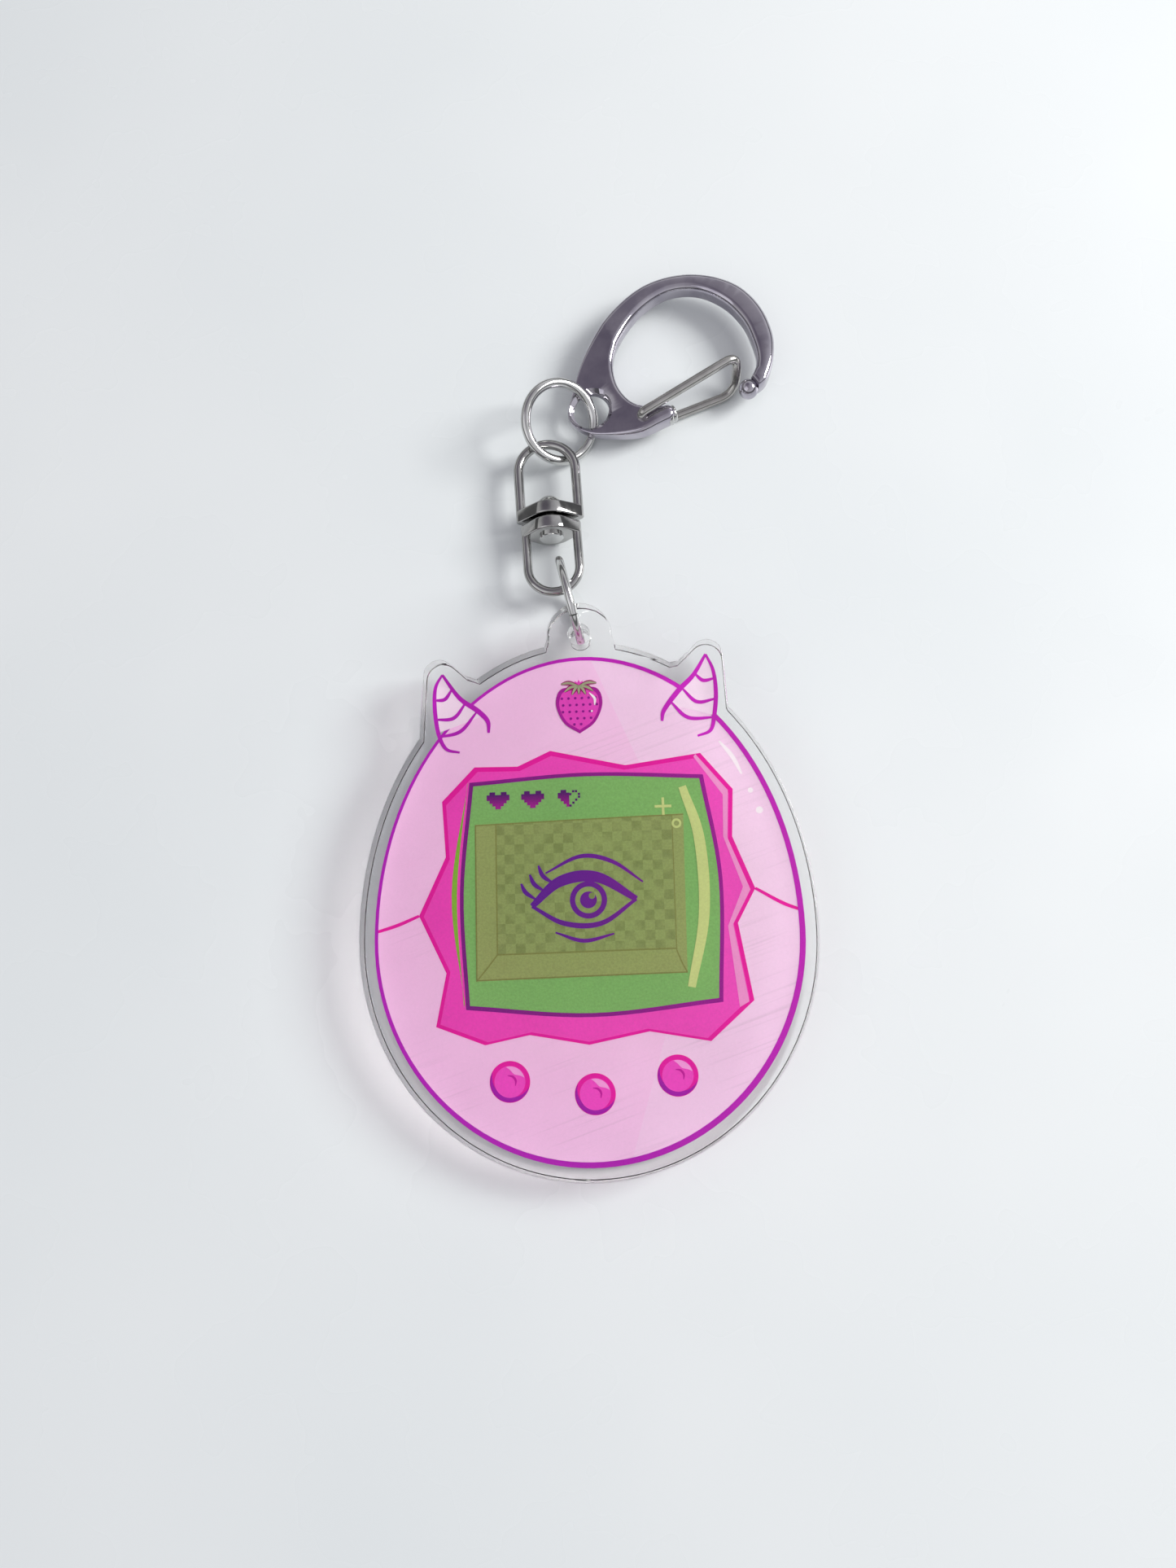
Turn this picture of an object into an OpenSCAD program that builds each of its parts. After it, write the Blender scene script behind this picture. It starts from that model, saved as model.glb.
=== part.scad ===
// Clear acrylic keyring charm printed with a virtual pet, on a jump ring, a swivel with two
// loops, a link ring and a D-shaped clasp with a sprung wire gate. It lies flat, picture up.

/* [Charm body] */
// Width of the printed egg
egg_w = 48.4; // [44:0.2:52]
// Height of the printed egg above its widest line
egg_top = 32.2; // [30:0.2:34]
// Height of the printed egg below its widest line
egg_bottom = 25.1; // [24:0.1:28]
// Clear margin round the printed egg
margin = 1.3; // [1:0.1:1.6]
// Thickness of the front acrylic sheet
front_t = 3; // [2:0.1:4]
// Thickness of the back acrylic sheet
back_t = 0.84; // [0.6:0.02:1]
// Thickness of one film of printed ink
ink_t = 0.02; // [0.02:0.01:0.03]

/* [Hanging tab] */
// Distance from the egg's widest line to the hole
hole_y = 34.4; // [34:0.1:35]
// Radius of the hole for the jump ring
hole_r = 1.25; // [1.2:0.05:1.4]
// Outer radius of the tab round the hole
tab_r = 3.75; // [3.5:0.05:4]

/* [Jump ring] */
// Mean radius of the jump ring
jump_r = 4.95; // [4.9:0.05:5]
// Radius of its wire
jump_wire = 0.5; // [0.45:0.01:0.5]

/* [Swivel] */
// Radius of the lower loop's wire
lower_wire = 0.55; // [0.5:0.01:0.55]
// Radius of the upper loop's wire
upper_wire = 0.6; // [0.55:0.01:0.6]
// Half the distance between the lower loop's legs
lower_half = 3.1; // [3:0.05:3.2]
// Half the distance between the upper loop's legs
upper_half = 3.5; // [3.4:0.05:3.5]
// Radius of the round middle of each end plate
plate_r = 2.65; // [2.4:0.05:2.65]
// Thickness of each end plate
plate_t = 1.6; // [1.4:0.1:1.6]
// Radius of the rivet's shank
rivet_r = 0.8; // [0.6:0.05:1]
// Running clearance between the rivet and the upper plate
rivet_play = 0.06; // [0.03:0.01:0.1]

/* [Link ring] */
// Mean radius of the link ring
link_r = 4.6; // [4.5:0.05:4.6]
// Radius of its wire
link_wire = 0.6; // [0.55:0.01:0.6]

/* [Clasp] */
// Thickness of the clasp's body
clasp_t = 2.6; // [2.4:0.1:2.6]
// Radius of the clasp's round eye
eye_r = 2.2; // [2.2:0.01:2.25]
// Radius of the gate's wire
gate_wire = 0.52; // [0.45:0.01:0.52]
// Running clearance between the gate's ends and their holes
gate_play = 0.05; // [0.03:0.01:0.08]

/* [Hidden] */
$fn = 48;

films = 8;                          // films of ink between the two sheets
ink_total = films * ink_t;
front_z = back_t + ink_total;       // underside of the front sheet
line_w = 0.44;                      // width of a printed line
outline_w = 0.52;                   // width of the line round the egg
outline_lean = [-0.12, 0.1];        // makes that line wider at the bottom right

jump_yaw = 13;
jump_out = 4.3;                     // from the hole to the jump ring's centre
jump_z = 3.06;                      // height of that centre above the charm's back

// How the object lies: the jump ring under the tab props the charm up by a small angle.
rest_y = -(egg_bottom + margin);    // the edge that the charm rests on
prop_reach = hole_y + jump_out * cos(jump_yaw) - rest_y;
prop_angle = asin((jump_r + jump_wire) / norm([prop_reach, jump_z])) - atan(jump_z / prop_reach);
// Moves the whole object so that the middle of its box stands on the origin.
shift = [0, -27.486, 0];

// A smooth open curve through a few points
function curve(p, steps = 8) = [
    for (i = [0 : len(p) - 2])
        let (a = i > 0 ? p[i - 1] : 2 * p[0] - p[1], b = p[i], c = p[i + 1],
             d = i < len(p) - 2 ? p[i + 2] : 2 * p[len(p) - 1] - p[len(p) - 2])
        for (k = [0 : steps - 1])
            let (t = k / steps)
            (2 * b + (c - a) * t + (2 * a - 5 * b + 4 * c - d) * t * t
                + (3 * b - a - 3 * c + d) * t * t * t) / 2,
    p[len(p) - 1]];

// The sideways direction of a path at its point number i
function side(p, i) =
    let (a = p[max(i - 1, 0)], b = p[min(i + 1, len(p) - 1)], d = (b - a) / norm(b - a))
    [-d[1], d[0]];

// A brush line along a path, wider in its middle than at its ends
module brush(path, w = line_w, ends = 0.5) {
    p = curve(path);
    n = len(p) - 1;
    half = [for (i = [0 : n]) w / 2 * (ends + (1 - ends) * sin(180 * i / n))];
    polygon([
        for (i = [0 : n]) p[i] + half[i] * side(p, i),
        for (i = [n : -1 : 0]) p[i] - half[i] * side(p, i)]);
}

// A line of even width from one point to another
module bar(a, b, w) {
    s = w / 2 * side([a, b], 0);
    polygon([a + s, b + s, b - s, a - s]);
}

module film(level, count = 1) {
    translate([0, 0, back_t + level * ink_t]) linear_extrude(count * ink_t) children();
}

// ---- the charm's outlines ----

module egg(grow = 0) {
    polygon([for (a = [0 : 3 : 357])
        [(egg_w / 2 + grow) * cos(a), ((a < 180 ? egg_top : egg_bottom) + grow) * sin(a)]]);
}

// The egg inside its printed line
module egg_inside() {
    translate(outline_lean) egg(-outline_w);
}

left_tip = [-16.3, 30.2];
right_tip = [14.5, 31.3];

// The clear border round one horn: a rounded point on a broad foot
module horn_border(tip, foot_out, foot_in) {
    hull() {
        translate(tip) circle(1.9, $fn = 32);
        translate(foot_out) circle(1.9, $fn = 32);
        translate(foot_in) circle(1.2, $fn = 32);
    }
}

module sheet_outline() {
    egg(margin);
    translate([0, hole_y]) circle(tab_r);
    translate([-tab_r, hole_y - 4]) square([2 * tab_r, 4]);
    horn_border(left_tip, [-16.7, 23.2], [-10.9, 26.2]);
    horn_border(right_tip, [14.8, 24.6], [9.6, 27.6]);
}

module sheet(z, t) {
    difference() {
        translate([0, 0, z]) linear_extrude(t) sheet_outline();
        translate([0, hole_y, z - 1]) cylinder(r = hole_r, h = t + 2);
    }
}

// ---- printed shapes ----

left_horn_out = [[-16.3, 30.75], [-17.1, 29.2], [-17.2, 26.8], [-16.8, 23.8]];
left_horn_in = [[-16.3, 30.75], [-14.3, 27.9], [-12.2, 26.3], [-11.6, 25.6]];
right_horn_out = [[14.5, 31.9], [15.3, 29.9], [15.5, 27.2], [15.2, 24.6]];
right_horn_in = [[14.5, 31.9], [13, 29.5], [11.2, 27.7], [10, 26.2]];

module horn_fill(outer, inner) {
    a = curve(outer);
    b = curve(inner);
    polygon([for (p = a) p, for (i = [len(b) - 1 : -1 : 1]) b[i]]);
}

module horn_shapes() {
    horn_fill(left_horn_out, left_horn_in);
    horn_fill(right_horn_out, right_horn_in);
}

horn_line_w = 0.5;                  // the outer edge of each horn
inner_line_w = 0.6;                 // its inner edge
ridge_line_w = 0.44;                // the curved lines across it

// The drawn edges of the horns and the curved lines across them
module horn_lines() {
    brush([left_horn_out[0], left_horn_out[1], left_horn_out[2], left_horn_out[3],
        [-15.9, 21.9], [-14.3, 21.4]], horn_line_w);
    brush([left_horn_in[0], left_horn_in[1], left_horn_in[2], [-11, 25], [-10.9, 23.6]], inner_line_w);
    brush([right_horn_out[0], right_horn_out[1], right_horn_out[2], right_horn_out[3],
        [14.7, 22.9], [13.2, 22.3]], horn_line_w);
    brush([right_horn_in[0], right_horn_in[1], right_horn_in[2], [9.5, 25.5], [9.2, 24.2]], inner_line_w);
    brush([[-17.2, 27.7], [-16, 27.8], [-15.2, 28.9]], ridge_line_w);
    brush([[-17.2, 25.4], [-15, 25.5], [-13.6, 27.2]], ridge_line_w);
    brush([[-16.8, 23.3], [-14.2, 23.9], [-12.3, 26.1]], ridge_line_w);
    brush([[15.4, 29], [14.1, 28.8], [13.2, 29.6]], ridge_line_w);
    brush([[15.5, 26.6], [13.3, 26.3], [11.7, 27.9]], ridge_line_w);
    brush([[15.2, 24.4], [12.2, 24.5], [10.3, 26.4]], ridge_line_w);
}

// Corners of the jagged bezel, clockwise from the top left
bezel = [[-12.6, 19.6], [-7.6, 19.5], [-3.8, 21.2], [4.8, 19.2], [13.4, 20.3], [16.9, 16],
    [16.6, 10.6], [18.9, 4.7], [16.8, 0.9], [18.2, -7.6], [13.3, -11.9], [6.6, -10.7],
    [-0.1, -12], [-6.7, -10.8], [-11.7, -11.8], [-17.2, -9.7], [-16, -3.8], [-19.1, 2.7],
    [-16, 9.3], [-16.4, 15.7]];
bezel_line = 0.972;                 // scale of the bezel inside its edge line

// A picture tube's outline: four corners joined by shallow bows
module tube(grow = 0) {
    tl = [-13.2 - grow, 17.8 + grow];
    tr = [13.6 + grow, 17.8 + grow];
    br = [14.8 + grow, -7.7 - grow];
    bl = [-13.8 - grow, -7.9 - grow];
    polygon(concat(curve([tl, [0.2, 18.5 + grow], tr]), curve([tr, [15.3 + grow, 6], br]),
        curve([br, [0.4, -9 - grow], bl]), curve([bl, [-14.4 - grow, 5], tl])));
}

module room_outline() {
    polygon([[-12.6, 12.9], [11.2, 13.4], [11, -4.4], [-12.6, -4.8]]);
}

// One block heart, drawn from rows of square cells: [first cell, cells, row]
heart_rows = [[1, 2, 5], [5, 2, 5], [0, 8, 4], [0, 8, 3], [1, 6, 2], [2, 4, 1], [3, 2, 0]];
cell = 0.33;
half_heart = 4;                     // cells in half a heart's width

module heart(full = true) {
    for (r = heart_rows)
        if (full || r[0] < half_heart)
            translate([(r[0] - half_heart) * cell, (r[2] - 3) * cell])
                square([(full ? r[1] : min(r[1], half_heart - r[0])) * cell, cell * 1.001]);
}

// A plain eye symbol: a lens between two arcs, an iris, a brow line and three lashes
module eye_symbol() {
    brush([[-6.2, 3.4], [-3, 6.1], [1.2, 6.5], [5.6, 3.9]], 1.3, 0.5);
    brush([[-6.2, 3.4], [-2.6, 1.4], [1.6, 1.3], [5.6, 3.9]], 0.6, 0.6);
    brush([[-4.6, 7.1], [-0.6, 8.9], [3, 8.2], [6.4, 5.8]], 0.5, 0.4);
    brush([[-3.6, 0.4], [-0.4, -0.6], [3, 0.1]], 0.45, 0.4);
    for (a = [0 : 2])
        brush([[-5.8 + a, 4.2 + a * 0.9], [-6.9 + a, 5 + a * 0.9], [-7.4 + a, 6 + a]], 0.5, 0.4);
    difference() {
        translate([0.2, 3.95]) circle(2.1);
        translate([0.2, 3.95]) circle(1.5);
    }
    difference() {
        translate([0.2, 3.95]) circle(0.95);
        translate([0.6, 4.4]) circle(0.35);
    }
}

button_at = [[-9, -15.8], [0.4, -17.3], [9.5, -15.5]];

module strawberry_outline() {
    half = curve([[0, 28.6], [2.1, 28.4], [2.7, 26.6], [1.8, 24.4], [0, 23.1]]);
    translate([-0.3, 0]) {
        polygon(half);
        mirror([1, 0]) polygon(half);
    }
}

module strawberry_leaves() {
    for (a = [-64, -32, 0, 32, 64])
        translate([-0.3, 28.6]) rotate(a) polygon([[-0.45, -0.1], [0, -1.5], [0.45, -0.1], [0, 0.9]]);
}

// ---- the charm's parts, each in the charm's own frame ----

module propped() {
    translate(shift) translate([0, rest_y, 0]) rotate([prop_angle, 0, 0])
        translate([0, -rest_y, 0]) children();
}

module front_sheet() {
    color([0.9, 0.93, 0.95, 0.4]) propped() sheet(front_z, front_t);
}

module back_sheet() {
    color([0.9, 0.93, 0.95, 0.4]) propped() sheet(0, back_t);
}

module ink_area() {
    egg();
    horn_shapes();
    horn_lines();
}

module bonding_film() {
    color([0.92, 0.94, 0.96, 0.4]) propped()
        difference() {
            sheet(back_t, ink_total);
            translate([0, 0, back_t - 1]) linear_extrude(ink_total + 2) ink_area();
        }
}

module white_underbase() {
    color("white") propped() film(0) ink_area();
}

module body_print() {
    color([0.9, 0.72, 0.86]) propped() film(1) egg();
}

module crack_lines() {
    brush([[-24, 1], [-21.6, 1.7], [-19.1, 2.7]], 0.4, 0.8);
    brush([[18.9, 4.7], [21.8, 3], [24, 2.1]], 0.4, 0.8);
}

module outline_print() {
    color([0.6, 0.06, 0.6]) propped() {
        film(2) difference() {
            egg();
            egg_inside();
            horn_shapes();
        }
        film(3) horn_lines();
    }
}

module horn_prints() {
    color([0.97, 0.9, 0.96]) propped() film(2) horn_shapes();
}

module bezel_edge_print() {
    color([0.9, 0.03, 0.55]) propped() film(2) {
        polygon(bezel);
        intersection() {
            crack_lines();
            egg_inside();
        }
    }
}

module bezel_print() {
    color([0.9, 0.26, 0.68]) propped() film(3) scale(bezel_line) polygon(bezel);
}

module screen_frame_print() {
    color([0.5, 0.05, 0.5]) propped() film(4) tube();
}

module screen_print() {
    color([0.46, 0.7, 0.4]) propped() film(5) tube(-line_w);
}

module room_print() {
    color([0.55, 0.6, 0.35]) propped() film(6) room_outline();
}

module eye_print() {
    color([0.3, 0.02, 0.55]) propped() film(7) eye_symbol();
}

module heart_prints() {
    color([0.35, 0.03, 0.5]) propped() film(6) {
        translate([-9.9, 15.6]) heart();
        translate([-5.9, 15.6]) heart();
        translate([-1.7, 15.6]) heart(false);
    }
}

module glare_print() {
    color([0.75, 0.83, 0.5]) propped() film(7) {
        brush([[11.2, 16.5], [12.9, 10.5], [13.1, 2], [11.4, -6]], 1.25, 0.7);
        bar([8, 14.3], [9.9, 14.3], 0.3);
        bar([8.95, 15.3], [8.95, 14.46], 0.3);
        bar([8.95, 14.14], [8.95, 13.3], 0.3);
        difference() {
            translate([10.4, 12.3]) circle(0.55);
            translate([10.4, 12.3]) circle(0.3);
        }
    }
}

module strawberry_print() {
    color([0.86, 0.1, 0.55]) propped() {
        film(2) strawberry_outline();
        film(3) strawberry_leaves();
    }
}

module button_prints() {
    color([0.93, 0.25, 0.7]) propped() film(2) for (p = button_at)
        translate(p) circle(2.25);
}

module highlight_prints() {
    color([1, 0.9, 0.98]) propped() film(2) {
        brush([[15.6, 21.6], [17, 19.8], [18, 17.7]], 0.5, 0.4);
        translate([18.9, 15.8]) circle(0.3);
        translate([19.8, 13.5]) circle(0.4);
    }
}

// ---- the hardware ----

kerf = 0.12;                        // gap where a bent ring's ends meet

module ring(mean_r, wire_r, kerf_at) {
    difference() {
        rotate_extrude() translate([mean_r, 0]) circle(wire_r);
        rotate(kerf_at) translate([mean_r - 2 * wire_r, -kerf / 2, -2 * wire_r])
            cube([4 * wire_r, kerf, 4 * wire_r]);
    }
}

module jump_ring() {
    color([0.75, 0.75, 0.78]) propped()
        translate([-jump_out * sin(jump_yaw), hole_y + jump_out * cos(jump_yaw), jump_z])
            rotate([0, 0, jump_yaw]) rotate([0, 90, 0]) ring(jump_r, jump_wire, 215);
}

swivel_at = [-3.36, 49.7, 2.75];
swivel_yaw = 3;
swivel_pitch = -1.5;
plate_gap = 0.4;
lower_len = 9.55;                   // from the swivel's middle to the lower loop's end
upper_len = 10.95;
plate_leg_h = 0.9;                  // how far an end plate's corners reach along the legs

// The swivel's own frame: its Y axis runs from the lower loop to the upper loop
module swivel_frame() {
    translate(shift) translate(swivel_at) rotate([swivel_pitch, 0, swivel_yaw]) children();
}

// A loop of round wire on a bored plate, standing on Y = 0 and reaching to Y = len
module half_swivel(half, wire_r, len, bore) {
    arc_y = len - wire_r - half;
    difference() {
        union() {
            translate([0, arc_y, 0]) rotate_extrude(angle = 180) translate([half, 0]) circle(wire_r);
            for (s = [-1, 1])
                translate([s * half, plate_gap / 2, 0]) rotate([-90, 0, 0])
                    cylinder(r = wire_r, h = arc_y - plate_gap / 2);
            translate([0, plate_gap / 2, 0]) rotate([-90, 0, 0]) cylinder(r = plate_r, h = plate_t);
            translate([-half, plate_gap / 2, -plate_leg_h]) cube([2 * half, plate_t, 2 * plate_leg_h]);
        }
        rotate([-90, 0, 0]) translate([0, 0, -1]) cylinder(r = bore, h = plate_t + 2);
    }
}

module swivel_lower_loop() {
    color([0.7, 0.7, 0.72]) swivel_frame()
        mirror([0, 1, 0]) half_swivel(lower_half, lower_wire, lower_len, rivet_r);
}

module swivel_upper_loop() {
    color([0.72, 0.72, 0.75]) swivel_frame()
        half_swivel(upper_half, upper_wire, upper_len, rivet_r + rivet_play);
}

rivet_head_r = 1.7;
rivet_head_h = 1.5;
rivet_tail_r = 1.45;
rivet_tail_h = 0.4;
head_play = 0.05;                   // end play under the domed head
dome_sink = 0.21;                   // how far the dome's centre lies below the head's seat

// Shank with a domed head above the upper plate and a flat tail against the lower plate
module swivel_rivet() {
    reach = plate_gap / 2 + plate_t;
    color([0.8, 0.8, 0.82]) swivel_frame() rotate([-90, 0, 0]) {
        translate([0, 0, -reach]) cylinder(r = rivet_r, h = 2 * reach + head_play);
        translate([0, 0, -reach - rivet_tail_h]) cylinder(r = rivet_tail_r, h = rivet_tail_h);
        translate([0, 0, reach + head_play]) rotate_extrude() intersection() {
            translate([0, -dome_sink]) circle(rivet_head_h + dome_sink);
            square([rivet_head_r, rivet_head_h + dome_sink]);
        }
    }
}

link_at = [-1.91, 62.54, 3.37];
link_side = 145;                    // the direction in which the ring stands highest
link_tilt = 36.9;

module link_ring() {
    color([0.78, 0.78, 0.8]) translate(shift) translate(link_at)
        rotate([0, 0, link_side]) rotate([0, -link_tilt, 0]) ring(link_r, link_wire, 150);
}

// The clasp's own frame: its origin is the eye's centre on the table, and X runs to the nose
eye_at = [1.91, 64.3, 0];
clasp_yaw = 23.6;
clasp_z = 1.42;                     // the clasp body's underside
nose_at = [18.35, -6.35];
nose_r = 1.2;
collar_at = [7.9, -5];
collar_r = 1.1;
pivot_at = [4.9, -4.2];

clasp_outer = [[7.9, -6.05], [4.1, -5.9], [0.6, -4.2], [-1.9, -2.2], [-2.9, 0.6], [-0.9, 3.4],
    [1.65, 6.35], [4.8, 8.9], [8.2, 10.7], [12, 11.8], [15.4, 11.7], [18.7, 10.6],
    [21.5, 8.6], [23.5, 5.9], [24.4, 2.3], [24, -1.6], [22.5, -4.6], [20.6, -6.7], [18.35, -7.5]];
clasp_inner = [[18.35, -5.2], [20, -4.4], [21, -3.1], [21.5, -0.8], [21.6, 2], [20.7, 5.3],
    [18.5, 8.2], [15.2, 9.6], [11.4, 9.1], [7.9, 7.3], [5.3, 4.8], [4.2, 1.6], [4.6, -1.2],
    [5.9, -2.9], [7.9, -3.95]];

module clasp_frame() {
    translate(shift) translate(eye_at) rotate([0, 0, clasp_yaw]) children();
}

// The clasp's flat blank: a D with an opening between a round nose and a round collar
module clasp_blank() {
    linear_extrude(clasp_t)
        polygon([for (p = curve(clasp_outer, 5)) p, for (p = curve(clasp_inner, 5)) p]);
    translate(nose_at) cylinder(r = nose_r, h = clasp_t);
    translate(collar_at) cylinder(r = collar_r, h = clasp_t);
}

slope_from = 6;                     // where the front face starts to slope towards the eye
eye_slope = 11.5;
eye_bevel = 0.5;                    // bevel round the eye on both faces
slope_cut = [12, 20, 4];            // length, width and height of what the slope takes away
bore_h = 8;                         // long enough to go through the body

// The frame of the sloped face: it turns about the line where the slope starts
module on_slope() {
    translate([slope_from, 0, clasp_z + clasp_t]) rotate([0, -eye_slope, 0]) children();
}

// A wide cone that opens upwards and bevels the edge of the eye
module bevel_cone() {
    cylinder(r1 = eye_r, r2 = eye_r + 4 * eye_bevel, h = 4 * eye_bevel);
}

module clasp_body() {
    color([0.55, 0.53, 0.6]) clasp_frame() difference() {
        translate([0, 0, clasp_z]) clasp_blank();
        translate([0, 0, -1]) cylinder(r = eye_r, h = bore_h);
        on_slope() translate([-slope_cut[0], -slope_cut[1] / 2, 0]) cube(slope_cut);
        on_slope() translate([-slope_from / cos(eye_slope), 0, -eye_bevel]) bevel_cone();
        translate([0, 0, clasp_z + eye_bevel]) mirror([0, 0, 1]) bevel_cone();
        translate([pivot_at[0], pivot_at[1], 0]) cylinder(r = gate_wire + gate_play, h = bore_h);
    }
}

gate_front_z = 4.7;
gate_back_z = 0.64;
gate_front_end = [18.7, -2.55];
gate_back_end = [17.2, -5.05];

knuckle = 0.02;                     // how much fuller the gate's wire is at its bends

// One straight stretch of the gate's wire, with a round bend at its start
module wire(a, b) {
    d = b - a;
    translate(a) rotate([0, acos(d[2] / norm(d)), atan2(d[1], d[0])])
        cylinder(r = gate_wire, h = norm(d));
    translate(a) sphere(gate_wire + knuckle);
}

module clasp_gate() {
    front = [gate_front_end[0], gate_front_end[1], gate_front_z];
    back = [gate_back_end[0], gate_back_end[1], gate_back_z];
    pivot_front = [pivot_at[0], pivot_at[1], gate_front_z];
    pivot_back = [pivot_at[0], pivot_at[1], gate_back_z];
    depth = 1.6;                    // how far each end reaches into the body
    color([0.7, 0.7, 0.7]) clasp_frame() {
        wire(pivot_front, front);
        wire(front, back);
        wire(back, pivot_back);
        translate(pivot_back) sphere(gate_wire + knuckle);
        translate([pivot_at[0], pivot_at[1], gate_front_z - depth])
            cylinder(r = gate_wire, h = depth);
        translate([pivot_at[0], pivot_at[1], gate_back_z]) cylinder(r = gate_wire, h = depth);
    }
}

front_sheet();
back_sheet();
bonding_film();
white_underbase();
body_print();
outline_print();
horn_prints();
bezel_edge_print();
bezel_print();
screen_frame_print();
screen_print();
room_print();
eye_print();
heart_prints();
glare_print();
strawberry_print();
button_prints();
highlight_prints();
jump_ring();
swivel_lower_loop();
swivel_rivet();
swivel_upper_loop();
link_ring();
clasp_body();
clasp_gate();
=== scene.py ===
from math import acos, asin, atan, atan2, cos, hypot, pi, radians, sin, tan

import bmesh
import bpy
from mathutils import Matrix, Vector


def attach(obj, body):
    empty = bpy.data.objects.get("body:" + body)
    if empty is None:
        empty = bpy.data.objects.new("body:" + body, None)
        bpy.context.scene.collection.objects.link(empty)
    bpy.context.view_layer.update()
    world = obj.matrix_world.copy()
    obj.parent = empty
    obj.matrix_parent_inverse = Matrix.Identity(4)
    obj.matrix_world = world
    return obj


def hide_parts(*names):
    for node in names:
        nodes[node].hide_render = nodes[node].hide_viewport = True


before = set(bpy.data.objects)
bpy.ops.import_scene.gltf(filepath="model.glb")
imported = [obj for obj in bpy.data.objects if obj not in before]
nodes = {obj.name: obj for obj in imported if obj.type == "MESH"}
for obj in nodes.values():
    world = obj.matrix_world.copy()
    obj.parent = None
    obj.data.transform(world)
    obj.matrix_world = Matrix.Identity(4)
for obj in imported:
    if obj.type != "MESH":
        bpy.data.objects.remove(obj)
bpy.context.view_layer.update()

# Lengths are in millimetres until a piece is finished.
MM = 0.001

# How the keychain lies
SHIFT_Y = -27.486
REST_Y = -26.4
HOLE_Y, HOLE_R = 34.4, 1.25
CHARM_T = 4.0
JUMP_YAW, JUMP_OUT, JUMP_Z = radians(13), 4.3, 3.06
JUMP_R, JUMP_WIRE = 4.95, 0.5
PROP_REACH = HOLE_Y + JUMP_OUT * cos(JUMP_YAW) - REST_Y
PROP = asin((JUMP_R + JUMP_WIRE) / hypot(PROP_REACH, JUMP_Z)) - atan(JUMP_Z / PROP_REACH)
LAID = Matrix.Translation((0, SHIFT_Y, 0))
CHARM = (
    Matrix.Translation((0, SHIFT_Y + REST_Y, 0))
    @ Matrix.Rotation(PROP, 4, "X")
    @ Matrix.Translation((0, -REST_Y, 0))
)


def turned(x=0.0, y=0.0, z=0.0):
    """A turn about X, then Y, then Z, in degrees."""
    return (
        Matrix.Rotation(radians(z), 4, "Z")
        @ Matrix.Rotation(radians(y), 4, "Y")
        @ Matrix.Rotation(radians(x), 4, "X")
    )


# ---- node helpers ----


def add(tree, kind, **values):
    """A node, with its properties and the values of its inputs set."""
    node = tree.nodes.new(kind)
    for key, value in values.items():
        if key.startswith("in_"):
            name = key[3:]
            socket = node.inputs[int(name)] if name.isdigit() else node.inputs[name.replace("_", " ")]
            socket.default_value = value
        else:
            setattr(node, key, value)
    return node


def join(tree, source, target):
    tree.links.new(source, target)


def math(tree, operation, a, b=None):
    node = add(tree, "ShaderNodeMath", operation=operation)
    for socket, value in zip(node.inputs, (a, b)):
        if isinstance(value, (int, float)):
            socket.default_value = value
        elif value is not None:
            join(tree, value, socket)
    return node.outputs[0]


def mix_color(tree, factor, a, b, blend="MIX"):
    node = add(tree, "ShaderNodeMix", data_type="RGBA", blend_type=blend)
    for index, value in ((0, factor), (6, a), (7, b)):
        if isinstance(value, (int, float)):
            node.inputs[index].default_value = value
        elif isinstance(value, tuple):
            node.inputs[index].default_value = (*value, 1)
        else:
            join(tree, value, node.inputs[index])
    return node.outputs[2]


def object_mm(tree):
    """The object's own coordinates in millimetres."""
    at = add(tree, "ShaderNodeTexCoord")
    scale = add(tree, "ShaderNodeMapping")
    scale.inputs["Scale"].default_value = (1000, 1000, 1000)
    join(tree, at.outputs["Object"], scale.inputs["Vector"])
    return scale.outputs["Vector"]


def noise(tree, vector, scale, detail=3.0, stretch=None, turn=0.0):
    """A noise value, stretched along one direction if asked."""
    if stretch:
        place = add(tree, "ShaderNodeMapping", vector_type="TEXTURE")
        place.inputs["Scale"].default_value = [1 / v for v in stretch]
        place.inputs["Rotation"].default_value = (0, 0, radians(turn))
        join(tree, vector, place.inputs["Vector"])
        vector = place.outputs["Vector"]
    node = add(tree, "ShaderNodeTexNoise", in_Scale=scale, in_Detail=detail)
    join(tree, vector, node.inputs["Vector"])
    return node.outputs["Fac"]


def ramp(tree, value, low, high, to_low=0.0, to_high=1.0):
    node = add(tree, "ShaderNodeMapRange")
    join(tree, value, node.inputs["Value"])
    for name, v in (("From Min", low), ("From Max", high), ("To Min", to_low), ("To Max", to_high)):
        node.inputs[name].default_value = v
    return node.outputs["Result"]


def bump(tree, height, strength, distance):
    node = add(tree, "ShaderNodeBump", in_Strength=strength, in_Distance=distance)
    join(tree, height, node.inputs["Height"])
    return node.outputs["Normal"]


def new_group(name, inputs, outputs):
    """An empty node group with these sockets, and its input and output nodes."""
    group = bpy.data.node_groups.new(name, "ShaderNodeTree")
    for label, kind in inputs:
        group.interface.new_socket(label, in_out="INPUT", socket_type=kind)
    for label, kind in outputs:
        group.interface.new_socket(label, in_out="OUTPUT", socket_type=kind)
    return group, group.nodes.new("NodeGroupInput"), group.nodes.new("NodeGroupOutput")


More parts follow.
